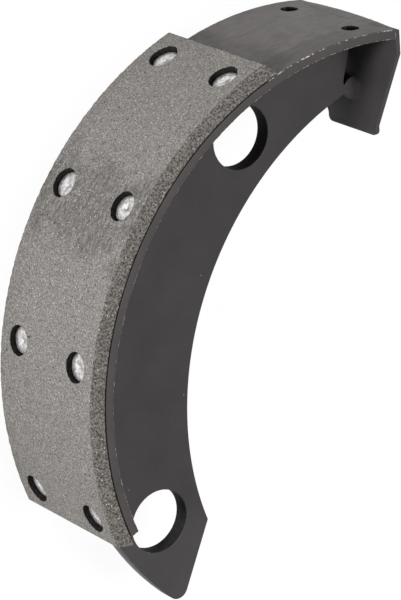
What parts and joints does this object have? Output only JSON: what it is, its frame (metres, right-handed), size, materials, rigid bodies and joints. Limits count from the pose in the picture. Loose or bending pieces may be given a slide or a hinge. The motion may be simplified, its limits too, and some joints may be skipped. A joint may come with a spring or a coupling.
{
  "type": "brake shoe",
  "caption": "Drum brake shoe: a flat steel web welded inside a curved rim, a flat end plate for the cam, and a riveted friction lining.",
  "frame": {"origin": "on the brake drum's axis, half way across the shoe's width", "axes": "+Z along the drum's axis, across the shoe; the middle of the rim faces -X; the cam end is towards +Y and the anchor end towards -Y"},
  "size_m": [0.1698, 0.3081, 0.08],
  "materials": {
    "painted_steel": "dark grey primer, satin, worn to bright steel on the edges",
    "rim_steel": "thin grey primer over brushed rolled steel",
    "friction_lining": "ground friction compound, matt, with fine fibres and chips",
    "rivet_steel": "plated steel, dull bright",
    "weld_metal": "rippled weld bead under dark grey primer"
  },
  "bodies": {
    "root": {"web": "painted_steel", "end_plate": "painted_steel", "rim": "rim_steel", "lining": "friction_lining", "lining_rivets": "rivet_steel", "rim_welds_upper": "weld_metal", "rim_welds_lower": "weld_metal", "foot_weld_upper": "weld_metal", "foot_weld_lower": "weld_metal", "end_weld": "weld_metal"}
  },
  "joints": []
}
